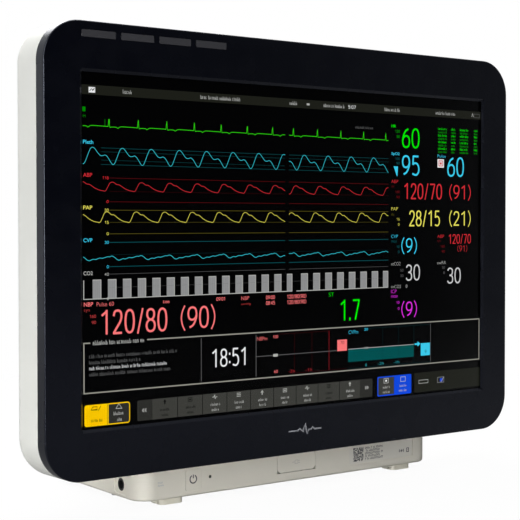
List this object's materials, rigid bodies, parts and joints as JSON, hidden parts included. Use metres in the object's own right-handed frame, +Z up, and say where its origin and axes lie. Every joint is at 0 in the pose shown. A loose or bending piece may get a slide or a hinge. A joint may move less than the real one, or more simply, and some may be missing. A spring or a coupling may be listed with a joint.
{
  "type": "patient monitor",
  "caption": "Free-standing bedside vital-signs monitor: widescreen touch display in a rounded casing on a low electronics base with rear sockets.",
  "frame": {"origin": "centre of the bounding box at the underside of the feet", "axes": "+X to the right seen from the front, +Y from the screen towards the back, +Z up"},
  "size_m": [0.471, 0.15, 0.3568],
  "materials": {
    "bezel_plastic": "satin dark blue-black moulding",
    "casing": "fine-textured off-white moulding",
    "housing": "fine-textured warm off-white moulding",
    "lens": "smoked translucent",
    "light_guide": "clear moulded",
    "board": "solder mask over glass laminate",
    "gasket": "closed-cell foam",
    "touch_glass": "polished, anti-reflective",
    "lcd": "black polariser",
    "steel": "zinc-plated sheet",
    "aluminium": "extruded",
    "nickel": "nickel-plated",
    "brass": "turned",
    "black_plastic": "moulded",
    "white_plastic": "moulded",
    "socket_grey": "moulded",
    "foot": "moulded",
    "button": "moulded, printed symbol",
    "led_lens": "smoked light pipe",
    "label": "laminated label",
    "cable": "jacketed",
    "flex": "flexible laminate"
  },
  "bodies": {
    "root": {"front_bezel": "bezel_plastic", "alarm_lens_1": "lens", "alarm_lens_2": "lens", "alarm_lens_3": "lens", "alarm_lens_4": "lens", "alarm_light_guide": "light_guide", "lamp_board": "board", "display_gasket": "gasket", "touch_glass": "touch_glass", "lcd_panel": "lcd", "backlight_unit": "white_plastic", "display_frame": "steel", "touch_controller_board": "board", "led_driver_board": "board", "bezel_seal": "gasket", "rear_cover": "casing", "main_chassis": "steel", "main_board": "board", "heatsink": "aluminium", "coin_cell": "nickel", "display_cable": "flex", "mount_inserts": "brass", "base_housing": "housing", "bottom_plate": "casing", "foot_front_left": "foot", "foot_front_right": "foot", "foot_rear_left": "foot", "foot_rear_right": "foot", "button_spring": "steel", "power_switch": "black_plastic", "power_led": "led_lens", "switch_board": "board", "door_hinge_pin": "steel", "usb_socket_left": "nickel", "usb_socket_right": "nickel", "front_io_board": "board", "side_jack": "black_plastic", "rating_label": "label", "connector_plate": "steel", "mains_inlet": "black_plastic", "power_supply": "board", "supply_shield": "steel", "supply_harness": "cable", "io_board": "board", "network_socket": "nickel", "video_socket": "white_plastic", "serial_sockets": "black_plastic", "measurement_socket": "socket_grey", "equipotential_stud": "brass", "speaker": "black_plastic", "cover_screws": "steel", "base_screws": "steel", "plate_screws": "steel", "board_screws": "steel"},
    "power_button": {"power_button": "button"},
    "port_door": {"port_door": "housing"},
    "inlet_retainer": {"inlet_retainer": "nickel"}
  },
  "joints": [
    {"name": "power_button_press", "type": "slide", "parent": "root", "child": "power_button", "axis": [0, 1, 0], "range_m": [0, 0.001], "stiffness_N_per_m": 600, "springref_m": -0.002, "deforming": ["button_spring"]},
    {"name": "port_door_hinge", "type": "hinge", "parent": "root", "child": "port_door", "pos_m": [0, -0.0621, 0.01315], "axis": [1, 0, 0], "range_deg": [0, 70]},
    {"name": "inlet_retainer_hinge", "type": "hinge", "parent": "root", "child": "inlet_retainer", "pos_m": [-0.092, 0.063, 0.063], "axis": [1, 0, 0], "range_deg": [0, 95]}
  ]
}
